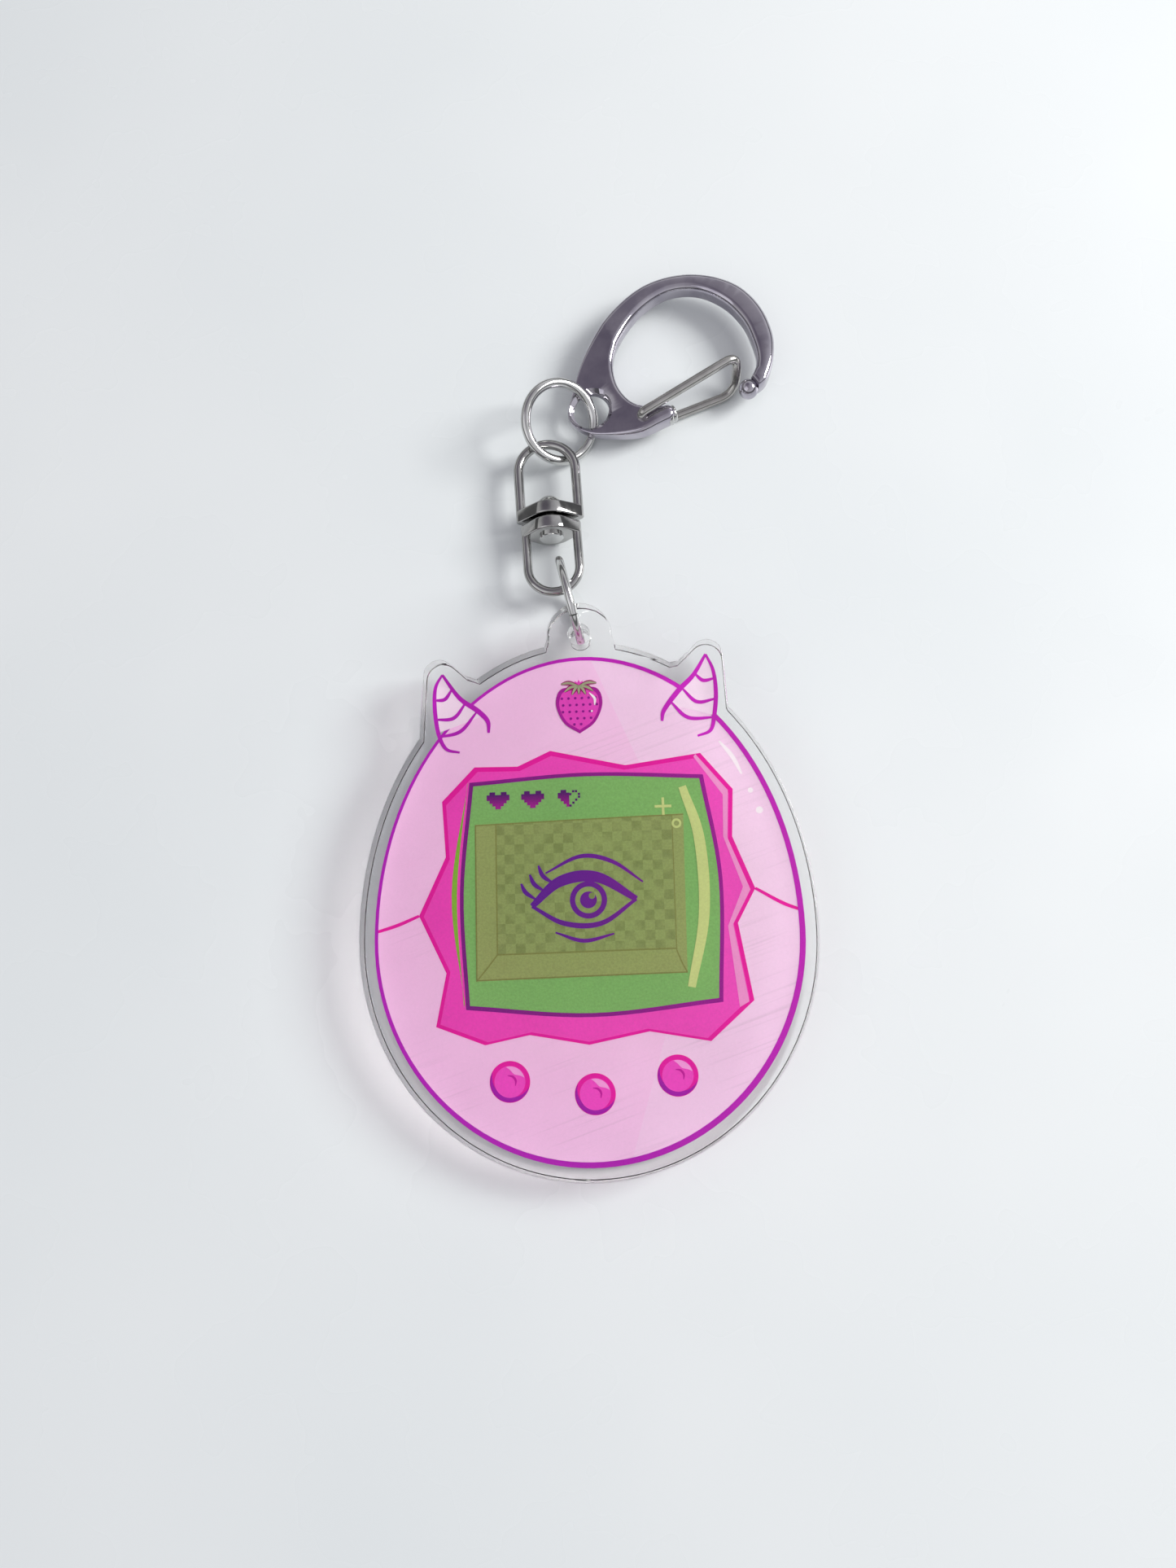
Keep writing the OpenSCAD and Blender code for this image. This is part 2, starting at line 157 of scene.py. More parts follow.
def ink_grain_group():
    """Fine print grain, slow patches and faint slanting print bands laid over a colour."""
    group, source, result = new_group(
        "ink_grain",
        [("Color", "NodeSocketColor"), ("Grain", "NodeSocketFloat"), ("Bands", "NodeSocketFloat")],
        [("Color", "NodeSocketColor"), ("Roughness", "NodeSocketFloat")],
    )
    at = object_mm(group)
    fine = noise(group, at, 4.2, 2.0)
    slow = noise(group, at, 0.09, 2.0)
    bands = noise(group, at, 1.0, 3.0, stretch=(0.05, 3.2, 1), turn=19)
    where = ramp(group, noise(group, at, 0.07, 1.0), 0.44, 0.58)
    grain = math(group, "MULTIPLY", math(group, "SUBTRACT", fine, 0.5), source.outputs["Grain"])
    slower = math(group, "MULTIPLY", math(group, "SUBTRACT", slow, 0.5), 0.16)
    line = math(group, "MULTIPLY", ramp(group, bands, 0.56, 0.72), where)
    lines = math(group, "MULTIPLY", line, source.outputs["Bands"])
    light = math(group, "ADD", math(group, "SUBTRACT", math(group, "ADD", grain, slower), lines), 1.0)
    scaled = add(group, "ShaderNodeVectorMath", operation="SCALE")
    join(group, source.outputs["Color"], scaled.inputs[0])
    join(group, light, scaled.inputs["Scale"])
    join(group, scaled.outputs[0], result.inputs["Color"])
    join(group, ramp(group, fine, 0.3, 0.7, 0.42, 0.6), result.inputs["Roughness"])
    return group


def metal_wear_group():
    """Slow tarnish, smears and fine scratches on plated metal."""
    group, source, result = new_group(
        "metal_wear",
        [("Color", "NodeSocketColor"), ("Tarnish", "NodeSocketColor"), ("Smear", "NodeSocketFloat")],
        [("Color", "NodeSocketColor"), ("Roughness", "NodeSocketFloat"), ("Normal", "NodeSocketVector")],
    )
    at = object_mm(group)
    slow = ramp(group, noise(group, at, 0.35, 3.0), 0.42, 0.66)
    smear = noise(group, at, 1.1, 4.0, stretch=(1, 0.3, 1), turn=30)
    scratch = noise(group, at, 6.0, 2.0, stretch=(0.25, 3.5, 1), turn=24)
    pits = noise(group, at, 9.0, 2.0)
    color = mix_color(group, slow, source.outputs["Color"], source.outputs["Tarnish"])
    join(group, color, result.inputs["Color"])
    rough = math(group, "MULTIPLY", ramp(group, smear, 0.35, 0.75, 0.3, 1.6), source.outputs["Smear"])
    join(group, rough, result.inputs["Roughness"])
    height = math(group, "ADD", math(group, "MULTIPLY", scratch, 0.5), pits)
    join(group, bump(group, height, 0.06, 0.00002), result.inputs["Normal"])
    return group


INK_GRAIN = ink_grain_group()
METAL_WEAR = metal_wear_group()


def new_material(name):
    material = bpy.data.materials.new(name)
    material.use_nodes = True
    tree = material.node_tree
    tree.nodes.clear()
    shader = add(tree, "ShaderNodeBsdfPrincipled")
    output = add(tree, "ShaderNodeOutputMaterial")
    join(tree, shader.outputs[0], output.inputs["Surface"])
    return material, tree, shader, output


def finish_ink(tree, shader, color, grain, bands):
    use = add(tree, "ShaderNodeGroup", node_tree=INK_GRAIN)
    use.inputs["Grain"].default_value = grain
    use.inputs["Bands"].default_value = bands
    if isinstance(color, tuple):
        use.inputs["Color"].default_value = (*color, 1)
    else:
        join(tree, color, use.inputs["Color"])
    join(tree, use.outputs["Color"], shader.inputs["Base Color"])
    join(tree, use.outputs["Roughness"], shader.inputs["Roughness"])
    shader.inputs["Specular IOR Level"].default_value = 0.1


def ink(name, color, grain=0.25, bands=0.0):
    """A flat printed colour with print grain."""
    material, tree, shader, _ = new_material(name)
    finish_ink(tree, shader, color, grain, bands)
    return material


def fading_ink(name, color_a, color_b, start, end, axis, grain=0.25, bands=0.0):
    """Printed colour that changes from a to b along an axis, between two places in millimetres."""
    material, tree, shader, _ = new_material(name)
    dot = add(tree, "ShaderNodeVectorMath", operation="DOT_PRODUCT")
    join(tree, object_mm(tree), dot.inputs[0])
    dot.inputs[1].default_value = axis
    amount = ramp(tree, dot.outputs["Value"], start, end)
    finish_ink(tree, shader, mix_color(tree, amount, color_a, color_b), grain, bands)
    return material


def body_ink():
    """The egg's pink: deeper on the left, with one large paler facet on the right."""
    material, tree, shader, _ = new_material("ink_body")
    at = object_mm(tree)
    parts = add(tree, "ShaderNodeSeparateXYZ")
    join(tree, at, parts.inputs[0])
    x = parts.outputs["X"]
    y = math(tree, "SUBTRACT", parts.outputs["Y"], SHIFT_Y)
    upper = math(tree, "SUBTRACT", 14.65, math(tree, "MULTIPLY", y, 0.4247))
    lower = math(tree, "ADD", 11.79, math(tree, "MULTIPLY", y, 0.31))
    past = math(tree, "SUBTRACT", x, math(tree, "MINIMUM", upper, lower))
    facet = ramp(tree, past, -0.04, 0.04)
    across = ramp(tree, x, -24, 24)
    down = ramp(tree, y, 24, -24)
    color = mix_color(tree, across, PINK_LEFT, PINK_RIGHT)
    color = mix_color(tree, math(tree, "MULTIPLY", facet, 0.6), color, PINK_FACET)
    color = mix_color(tree, math(tree, "MULTIPLY", down, 0.25), color, PINK_LOW)
    finish_ink(tree, shader, color, 0.09, 0.10)
    return material


def room_ink():
    """The room behind the eye: a khaki wall with a worn chequered pattern on its back."""
    material, tree, shader, _ = new_material("ink_room")
    at = object_mm(tree)
    parts = add(tree, "ShaderNodeSeparateXYZ")
    join(tree, at, parts.inputs[0])
    x = parts.outputs["X"]
    y = math(tree, "SUBTRACT", parts.outputs["Y"], SHIFT_Y)
    check = add(tree, "ShaderNodeTexChecker", in_Scale=1 / 1.12)
    flat = add(tree, "ShaderNodeCombineXYZ")
    join(tree, math(tree, "ADD", x, 0.27), flat.inputs[0])
    join(tree, math(tree, "ADD", y, 1.9), flat.inputs[1])
    flat.inputs[2].default_value = 0.5
    join(tree, flat.outputs[0], check.inputs["Vector"])
    on_back = math(
        tree,
        "MULTIPLY",
        math(
            tree,
            "MULTIPLY",
            math(tree, "GREATER_THAN", x, BACK_LEFT),
            math(tree, "LESS_THAN", x, BACK_RIGHT),
        ),
        math(tree, "GREATER_THAN", y, BACK_LOW),
    )
    worn = ramp(tree, noise(tree, at, 0.5, 3.0), 0.3, 0.62)
    amount = math(tree, "MULTIPLY", math(tree, "MULTIPLY", check.outputs["Fac"], on_back), worn)
    wall = mix_color(tree, math(tree, "MULTIPLY", on_back, 0.5), KHAKI, KHAKI_BACK)
    color = mix_color(tree, math(tree, "MULTIPLY", amount, 0.75), wall, KHAKI_DARK)
    finish_ink(tree, shader, color, 0.42, 0.0)
    return material


def metal(name, color, tarnish, smear):
    material, tree, shader, _ = new_material(name)
    use = add(tree, "ShaderNodeGroup", node_tree=METAL_WEAR)
    use.inputs["Color"].default_value = (*color, 1)
    use.inputs["Tarnish"].default_value = (*tarnish, 1)
    use.inputs["Smear"].default_value = smear
    shader.inputs["Metallic"].default_value = 1.0
    join(tree, use.outputs["Color"], shader.inputs["Base Color"])
    join(tree, use.outputs["Roughness"], shader.inputs["Roughness"])
    join(tree, use.outputs["Normal"], shader.inputs["Normal"])
    return material


def clear_acrylic():
    """Clear acrylic with faint polish marks. Light passes through it on its way to the floor."""
    material, tree, shader, output = new_material("clear_acrylic")
    at = object_mm(tree)
    polish = noise(tree, at, 1.6, 3.0, stretch=(1, 0.2, 1), turn=40)
    join(tree, ramp(tree, polish, 0.35, 0.7, 0.01, 0.05), shader.inputs["Roughness"])
    join(tree, bump(tree, noise(tree, at, 0.25, 2.0), 0.04, 0.0002), shader.inputs["Normal"])
    shader.inputs["Base Color"].default_value = (0.985, 0.985, 0.985, 1)
    shader.inputs["Metallic"].default_value = 0.0
    shader.inputs["Transmission Weight"].default_value = 1.0
    shader.inputs["IOR"].default_value = 1.49
    through = add(tree, "ShaderNodeBsdfTransparent", in_Color=(0.54, 0.50, 0.51, 1))
    path = add(tree, "ShaderNodeLightPath")
    mix = add(tree, "ShaderNodeMixShader")
    join(tree, path.outputs["Is Shadow Ray"], mix.inputs[0])
    join(tree, shader.outputs[0], mix.inputs[1])
    join(tree, through.outputs[0], mix.inputs[2])
    join(tree, mix.outputs[0], output.inputs["Surface"])
    return material


# Printed colours, in linear light
PINK_LEFT = (0.93, 0.56, 0.84)
PINK_RIGHT = (0.90, 0.62, 0.83)
PINK_FACET = (0.90, 0.70, 0.87)
PINK_LOW = (0.92, 0.58, 0.85)
PURPLE = (0.42, 0.004, 0.45)
VIOLET = (0.60, 0.01, 0.52)
MAGENTA = (0.80, 0.0, 0.34)
HOT_PINK = (0.86, 0.052, 0.49)
PALE_STRIP = (0.86, 0.30, 0.62)
GREEN = (0.20, 0.47, 0.125)
LIME = (0.22, 0.46, 0.03)
KHAKI = (0.29, 0.37, 0.115)
KHAKI_BACK = (0.26, 0.35, 0.11)
KHAKI_DARK = (0.19, 0.25, 0.07)
DARK_VIOLET = (0.11, 0.002, 0.30)
GLARE = (0.56, 0.68, 0.24)
LEAF = (0.34, 0.38, 0.22)
WHITE = (0.93, 0.88, 0.92)
BACK_LEFT, BACK_RIGHT, BACK_LOW = -10.2, 9.9, -1.9
HEART_LOW, HEART_HIGH = 14.76, 16.16

BRIGHT = metal("bright_plate", (0.66, 0.66, 0.655), (0.52, 0.52, 0.51), 0.13)
GREY_PLATE = metal("grey_plate", (0.46, 0.455, 0.45), (0.34, 0.34, 0.335), 0.11)
CAST_PLATE = metal("cast_plate", (0.50, 0.475, 0.53), (0.40, 0.375, 0.44), 0.07)
SPRING_WIRE = metal("spring_wire", (0.50, 0.49, 0.475), (0.40, 0.39, 0.375), 0.17)
ACRYLIC = clear_acrylic()

INKS = {
    "white_underbase": ink("ink_white", (0.86, 0.84, 0.86), 0.05),
    "body_print": body_ink(),
    "outline_print": fading_ink("ink_outline", PURPLE, VIOLET, -24, 22, (0.9, 0.43, 0), 0.2),
    "horn_prints": ink("ink_horns", (0.90, 0.74, 0.87), 0.08),
    "bezel_edge_print": ink("ink_bezel_edge", MAGENTA, 0.12),
    "bezel_print": fading_ink("ink_bezel", HOT_PINK, (0.87, 0.07, 0.52), -18, 18, (1, 0, 0), 0.22, 0.05),
    "screen_frame_print": fading_ink(
        "ink_screen_frame", (0.20, 0.002, 0.22), (0.30, 0.0, 0.27), -14, 14, (1, 0, 0), 0.2
    ),
    "screen_print": ink("ink_screen", GREEN, 0.42),
    "room_print": room_ink(),
    "eye_print": fading_ink("ink_eye", DARK_VIOLET, (0.16, 0.002, 0.28), -6, 6, (1, 0, 0), 0.3),
    "heart_prints": fading_ink(
        "ink_hearts",
        (0.34, 0.004, 0.27),
        (0.08, 0.002, 0.14),
        HEART_LOW + SHIFT_Y,
        HEART_HIGH + SHIFT_Y,
        (0, 1, 0),
        0.25,
    ),
    "glare_print": ink("ink_glare", GLARE, 0.22),
    "strawberry_print": ink("ink_berry", (0.76, 0.055, 0.50), 0.22),
    "button_prints": ink("ink_button_rim", (0.80, 0.0, 0.36), 0.2),
    "highlight_prints": ink("ink_highlight", WHITE, 0.08),
}
for node_name, node_material in INKS.items():
    nodes[node_name].data.materials.clear()
    nodes[node_name].data.materials.append(node_material)


# ---- mesh helpers ----


def finish_piece(name, bm, place, body, material, replaced=(), angle=32):
    """Turns a bmesh in millimetres into a piece in the row frame that rides on a body."""
    bmesh.ops.transform(bm, matrix=Matrix.Scale(MM, 4) @ place, verts=bm.verts)
    bmesh.ops.recalc_face_normals(bm, faces=bm.faces)
    mesh = bpy.data.meshes.new(name)
    bm.to_mesh(mesh)
    bm.free()
    mesh.shade_smooth()
    mesh.set_sharp_from_angle(angle=radians(angle))
    mesh.materials.append(material)
    piece = bpy.data.objects.new(name, mesh)
    bpy.context.scene.collection.objects.link(piece)
    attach(piece, body)
    if replaced:
        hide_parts(*replaced)
    return piece


def loop_of(bm, points):
    """A closed loop of edges through these points."""
    verts = [bmesh.ops.create_vert(bm, co=p)["vert"][0] for p in points]
    edges = []
    for a, b in zip(verts, verts[1:] + verts[:1]):
        edges.append(bmesh.ops.contextual_create(bm, geom=[a, b])["edges"][0])
    return edges


def tube(bm, path, radius, sides=20, closed=False):
    """A round wire along a path."""
    path = [Vector(p) for p in path]
    count = len(path)
    across = None
    rings = []
    for i, p in enumerate(path):
        before = path[i - 1] if i or closed else p
        after = path[(i + 1) % count] if i + 1 < count or closed else p
        along = (after - before).normalized()
        if across is None:
            across = along.orthogonal()
        across = (across - along * across.dot(along)).normalized()
        third = along.cross(across)
        turn = Matrix((across, third, along)).transposed().to_4x4()
        ring = bmesh.ops.create_circle(
            bm,
            cap_ends=not closed and i in (0, count - 1),
            radius=radius,
            segments=sides,
            matrix=Matrix.Translation(p) @ turn,
        )["verts"]
        rings.append(list({e for v in ring for e in v.link_edges}))
    pairs = list(zip(rings, rings[1:])) + ([(rings[-1], rings[0])] if closed else [])
    for a, b in pairs:
        bmesh.ops.bridge_loops(bm, edges=a + b)


def arc(center, radius, start, end, steps):
    """Points on an arc in the XY plane, in degrees."""
    return [
        (
            center[0] + radius * cos(radians(start + (end - start) * i / steps)),
            center[1] + radius * sin(radians(start + (end - start) * i / steps)),
        )
        for i in range(steps + 1)
    ]


def curve(points, steps=8):
    """A smooth open curve through a few points."""
    p = [Vector(q) for q in points]
    out = []
    for i in range(len(p) - 1):
        a = p[i - 1] if i else 2 * p[0] - p[1]
        b, c = p[i], p[i + 1]
        d = p[i + 2] if i + 2 < len(p) else 2 * p[-1] - p[-2]
        for k in range(steps):
            t = k / steps
            square, cube = 2 * a - 5 * b + 4 * c - d, 3 * b - a - 3 * c + d
            out.append((2 * b + (c - a) * t + square * t * t + cube * t**3) / 2)
    return [tuple(q) for q in out + [p[-1]]]


def area_of(points):
    return sum(a[0] * b[1] - b[0] * a[1] for a, b in zip(points, points[1:] + points[:1])) / 2


def inset(points, distances):
    """A closed outline moved towards its own inside, by a distance for each point."""
    sign = 1 if area_of(points) > 0 else -1
    out = []
    for i, p in enumerate(points):
        a, b = Vector(points[i - 1]), Vector(points[(i + 1) % len(points)])
        u, v = (Vector(p) - a).normalized(), (b - Vector(p)).normalized()
        n = Vector((-u.y - v.y, u.x + v.x))
        if n.length < 1e-6:
            n = Vector((-u.y, u.x)) * 2
        n = n.normalized()
        reach = max(n.dot(Vector((-u.y, u.x))), 0.5)
        q = Vector(p) + n * sign * distances[i] / reach
        out.append((q.x, q.y))
    return out


def slab(bm, outline, z0, z1, edge, steps=3, holes=(), hole_edge=None, hole_steps=None):
    """A flat plate with rounded edges, and holes through it with their own edges.

    An edge is a radius, or a function that gives the radius at a point."""
    ends = {0: [], 1: []}
    bores = [(h, edge if hole_edge is None else hole_edge, -1, hole_steps or steps) for h in holes]
    for points, radius, way, count in [(outline, edge, 1, steps)] + bores:
        soft = [radius(p) if callable(radius) else radius for p in points]
        turns = [pi / 2 * k / count for k in range(count + 1)]
        levels = [(1 - sin(a), 1 - cos(a), 1) for a in turns]
        levels += [(1 - sin(a), 1 - cos(a), -1) for a in turns[::-1]]
        loops = []
        for inward, up, from_low in levels:
            flat = inset(points, [way * inward * r for r in soft])
            heights = [z0 + up * r if from_low > 0 else z1 - up * r for r in soft]
            loops.append(loop_of(bm, [(*q, z) for q, z in zip(flat, heights)]))
        for a, b in zip(loops, loops[1:]):
            bmesh.ops.bridge_loops(bm, edges=a + b)
        ends[0] += loops[0]
        ends[1] += loops[-1]
    for edges in ends.values():
        bmesh.ops.triangle_fill(bm, use_beauty=True, use_dissolve=False, edges=edges)


def weigh_normals(piece):
    """Keeps large flat faces flat up to their rounded edges."""
    weigh = piece.modifiers.new("weighted_normal", "WEIGHTED_NORMAL")
    weigh.keep_sharp = True
    weigh.weight = 80


# ---- the clear charm ----


def crossing(polygon, direction):
    """How far a ray from the origin goes before it leaves a polygon for good, or 0."""
    far = 0.0
    dx, dy = direction
    for (ax, ay), (bx, by) in zip(polygon, polygon[1:] + polygon[:1]):
        ex, ey = bx - ax, by - ay
        cross = dx * ey - dy * ex
        if abs(cross) < 1e-12:
            continue
        along = (ax * ey - ay * ex) / cross
        share = (ax * dy - ay * dx) / cross
        if -1e-9 <= share <= 1 + 1e-9:
            far = max(far, along)
    return far


def hull(points):
    """The convex outline round some points."""
    points = sorted(set(points))

    def half(row):
        out = []
        for p in row:
            while len(out) > 1 and (out[-1][0] - out[-2][0]) * (p[1] - out[-2][1]) <= (
                out[-1][1] - out[-2][1]
            ) * (p[0] - out[-2][0]):
                out.pop()
            out.append(p)
        return out[:-1]

    return half(points) + half(points[::-1])


EGG_W, EGG_TOP, EGG_BOTTOM, MARGIN = 48.4, 32.2, 25.1, 1.3
TAB_R = 3.75


def egg(grow):
    return [
        (
            (EGG_W / 2 + grow) * cos(radians(a)),
            ((EGG_TOP if a < 180 else EGG_BOTTOM) + grow) * sin(radians(a)),
        )
        for a in range(0, 360, 3)
    ]


def horn(tip, foot_out, foot_in):
    corners = ((tip, 1.9), (foot_out, 1.9), (foot_in, 1.2))
    return hull([p for at, radius in corners for p in arc(at, radius, 0, 348.75, 31)])


def sheet_outline():
    shapes = [
        egg(MARGIN),
        arc((0, HOLE_Y), TAB_R, 0, 357, 119),
        [(-TAB_R, HOLE_Y - 4), (TAB_R, HOLE_Y - 4), (TAB_R, HOLE_Y), (-TAB_R, HOLE_Y)],
        horn((-16.3, 30.2), (-16.7, 23.2), (-10.9, 26.2)),
        horn((14.5, 31.3), (14.8, 24.6), (9.6, 27.6)),
    ]
    angles = {round(atan2(y, x), 5) for shape in shapes[1:] for x, y in shape if hypot(x, y) > 26}
    angles |= {round(radians(a), 5) for a in range(-180, 180, 2)}
    outline = []
    for a in sorted(angles):
        d = (cos(a), sin(a))
        r = max(crossing(shape, d) for shape in shapes) - 0.01
        p = (r * d[0], r * d[1])
        if not outline or hypot(p[0] - outline[-1][0], p[1] - outline[-1][1]) > 0.12:
            outline.append(p)
    return outline


def build_charm():
    bm = bmesh.new()
    hole = arc((0, HOLE_Y), HOLE_R + 0.01, 0, 352.5, 47)
    slab(bm, sheet_outline(), 0.01, CHARM_T - 0.01, 0.16, 3, [hole], 0.1)
    replaced = ("front_sheet", "back_sheet", "bonding_film")
    weigh_normals(finish_piece("clear_charm", bm, CHARM, "charm", ACRYLIC, replaced, 40))


build_charm()


# ---- fine printed details ----

DETAIL_T = 0.005


def decal(name, shapes, z, material):
    """Thin printed shapes at a height inside the clear charm."""
    bm = bmesh.new()
    for points in shapes:
        edges = loop_of(bm, [(*p, z) for p in points])
        bmesh.ops.triangle_fill(bm, use_beauty=True, use_dissolve=False, edges=edges)
    grown = bmesh.ops.extrude_face_region(bm, geom=bm.faces[:])["geom"]
    top = [v for v in grown if isinstance(v, bmesh.types.BMVert)]
    bmesh.ops.translate(bm, verts=top, vec=(0, 0, DETAIL_T))
    return finish_piece(name, bm, CHARM, "charm", material)


def brush(points, width, ends=0.5, steps=8):
    """The outline of a brush line, wider in its middle."""
    p = [Vector(q) for q in curve(points, steps)]
    n = len(p) - 1
    left, right = [], []
    for i, q in enumerate(p):
        d = (p[min(i + 1, n)] - p[max(i - 1, 0)]).normalized()
        s = Vector((-d.y, d.x)) * width / 2 * (ends + (1 - ends) * sin(pi * i / n))
        left.append(tuple(q + s))
        right.append(tuple(q - s))
    return left + right[::-1]


def moved(points, by, scale=1.0):
    return [(x * scale + by[0], y * scale + by[1]) for x, y in points]


BEZEL = [
    (13.4, 20.3), (16.9, 16), (16.6, 10.6), (18.9, 4.7), (16.8, 0.9), (18.2, -7.6),
]


def bezel_strip():
    """The paler bevel along the bezel's right side."""
    inner = [(12.6, 19.9), (15.75, 15.4), (15.6, 10.6), (17.55, 4.9), (15.7, 0.6), (16.6, -8.3)]
    outer = [(x - 0.55, y - 0.12) for x, y in BEZEL]
    return outer + inner[::-1]


def lime_strip():
    """The strip that shows past the screen's left edge."""
    outer = curve([(-13.35, 17.9), (-15.35, 5), (-13.95, -7.2)])
    inner = curve([(-13.45, 17.6), (-14.75, 5), (-14.05, -7.6)])
    return outer + inner[::-1]


BERRY = curve([(0, 28.6), (2.1, 28.4), (2.7, 26.6), (1.8, 24.4), (0, 23.1)])
BERRY_X = -0.3


def berry_outline(scale=1.0):
    right = [(x * scale, (y - 26) * scale + 26) for x, y in BERRY]
    left = [(-x, y) for x, y in reversed(right[1:-1])]
    return moved(right + left, (BERRY_X, 0))


def ring_between(outer, inner):
    """Quads that fill the band between two outlines with as many points."""
    n = len(outer)
    return [[outer[i], outer[(i + 1) % n], inner[(i + 1) % n], inner[i]] for i in range(n)]


def berry_seeds():
    seeds = []
    for row, y in enumerate((27.3, 26.5, 25.7, 24.9, 24.2)):
        half = (2.0, 2.2, 1.9, 1.35, 0.6)[row]
        x = -half + (0.35 if row % 2 else 0.0)
        while x <= half:
            seeds.append(moved(arc((0, 0), 0.16, 0, 315, 7), (BERRY_X + x, y)))
            x += 0.78
    return seeds


def berry_leaves(grow):
    leaves = []
    for lean, length in ((-100, 2.1), (-62, 1.9), (-30, 1.6), (0, 1.35), (30, 1.6), (62, 1.9), (100, 2.1)):
        a = radians(lean - 90)
        tip = (length * cos(a), length * sin(a) * 0.75)
        bend = (tip[0] * 0.55, tip[1] * 0.55 + 0.22)
        leaves.append(moved(brush([(0, 0), bend, tip], 0.42 + grow, 0.3), (BERRY_X, 28.75)))
    return leaves


BUTTONS = [(-9, -15.8), (0.4, -17.3), (9.5, -15.5)]


def crescent(radius_out, radius_in, start, end, steps=14):
    outer = arc((0, 0), radius_out, start, end, steps)
    inner = []
    for i in range(steps + 1):
        share = sin(pi * i / steps)
        r = radius_out + (radius_in - radius_out) * share
        a = radians(start + (end - start) * i / steps)
        inner.append((r * cos(a), r * sin(a)))
    return outer + inner[::-1][1:-1]


def heart_half_outline():
    """Small squares along the empty half of the third heart."""
    cell = 0.33
    cells = [(5, 5), (6, 5), (7, 4), (7, 3), (6, 2), (5, 1), (4, 0), (4, 4)]
    out = []
    for column, row in cells:
        x, y = -1.7 + (column - 4) * cell, 15.6 + (row - 3) * cell
        out.append([(x, y), (x + cell * 0.8, y), (x + cell * 0.8, y + cell * 0.8), (x, y + cell * 0.8)])
    return out


def room_lines():
    left, right, low = BACK_LEFT, BACK_RIGHT, BACK_LOW
    return [
        brush([(left, 12.9), (left, 5), (left, low)], 0.16, 0.9),
        brush([(right, 13.3), (right, 5), (right, low)], 0.12, 0.9),
        brush([(left, low), (0, low + 0.1), (right, low + 0.2)], 0.18, 0.9),
        brush([(left, low), (-11.4, -3.4), (-12.6, -4.8)], 0.16, 0.9),
        brush([(right, low), (10.4, -3.2), (11, -4.4)], 0.16, 0.9),
        brush([(-12.6, 12.8), (0, 13.1), (11.2, 13.3)], 0.16, 0.9),
        brush([(-12.55, 12.8), (-12.55, 4), (-12.55, -4.7)], 0.16, 0.9),
        brush([(-12.6, -4.7), (0, -4.5), (11, -4.35)], 0.16, 0.9),
    ]


def on_buttons(points):
    return [moved(points, p) for p in BUTTONS]


def build_print_details():
    rim = ring_between(berry_outline(1.0), berry_outline(0.86))
    shine = [
        brush([(0.9, 27.9), (1.5, 27.2), (1.5, 26.4)], 0.3, 0.3),
        moved(arc((0, 0), 0.12, 0, 330, 11), (1.15, 25.7)),
    ]
    low = on_buttons(crescent(2.2, 1.6, 150, 345))
    faces = on_buttons(arc((0, 0), 1.72, 0, 350, 35))
    glints = on_buttons(crescent(1.66, 0.95, 15, 105))
    arcs = on_buttons(brush(arc((-0.1, -0.1), 0.78, 100, -25, 3), 0.26, 0.3))
    # name, shapes, height, ink's name, ink's colour, grain
    details = [
        ("bezel_facet", [bezel_strip()], 0.924, "ink_facet", PALE_STRIP, 0.15),
        ("screen_lime_edge", [lime_strip()], 0.924, "ink_lime", LIME, 0.3),
        ("strawberry_outline", rim, 0.93, "ink_berry_line", (0.38, 0.004, 0.30), 0.2),
        ("strawberry_seeds", berry_seeds(), 0.93, "ink_seed", (0.27, 0.004, 0.26), 0.2),
        ("strawberry_leaf_edges", berry_leaves(0.16), 0.937, "ink_leaf_line", (0.30, 0.01, 0.13), 0.2),
        ("strawberry_leaves", berry_leaves(-0.14), 0.944, "ink_leaf", LEAF, 0.3),
        ("strawberry_shine", shine, 0.937, "ink_berry_shine", WHITE, 0.05),
        ("button_shadows", low, 0.91, "ink_button_low", (0.36, 0.0, 0.40), 0.2),
        ("button_faces", faces, 0.918, "ink_button_face", (0.88, 0.065, 0.56), 0.2),
        ("button_glints", glints, 0.925, "ink_button_glint", (0.92, 0.36, 0.74), 0.1),
        ("button_arcs", arcs, 0.932, "ink_button_arc", (0.58, 0.0, 0.33), 0.1),
        ("heart_dots", heart_half_outline(), 0.97, "ink_heart_dots", (0.08, 0.002, 0.14), 0.2),
        ("room_lines", room_lines(), 0.983, "ink_room_line", (0.21, 0.24, 0.06), 0.4),
    ]
    for name, shapes, height, ink_name, color, grain in details:
        decal(name, shapes, height, ink(ink_name, color, grain))


build_print_details()


# ---- rings and swivel ----

LINK_R, LINK_WIRE = 4.6, 0.6
LINK_AT, LINK_SIDE, LINK_TILT = (-1.91, 62.54, 3.37), 145, 36.9


def ring_path(radius, gap_at, gap):
    """A ring's centre line, open by a small gap."""
    half = gap / radius / 2 * 180 / pi
    return [(x, y, 0) for x, y in arc((0, 0), radius, gap_at + half, gap_at + 360 - half, 96)]


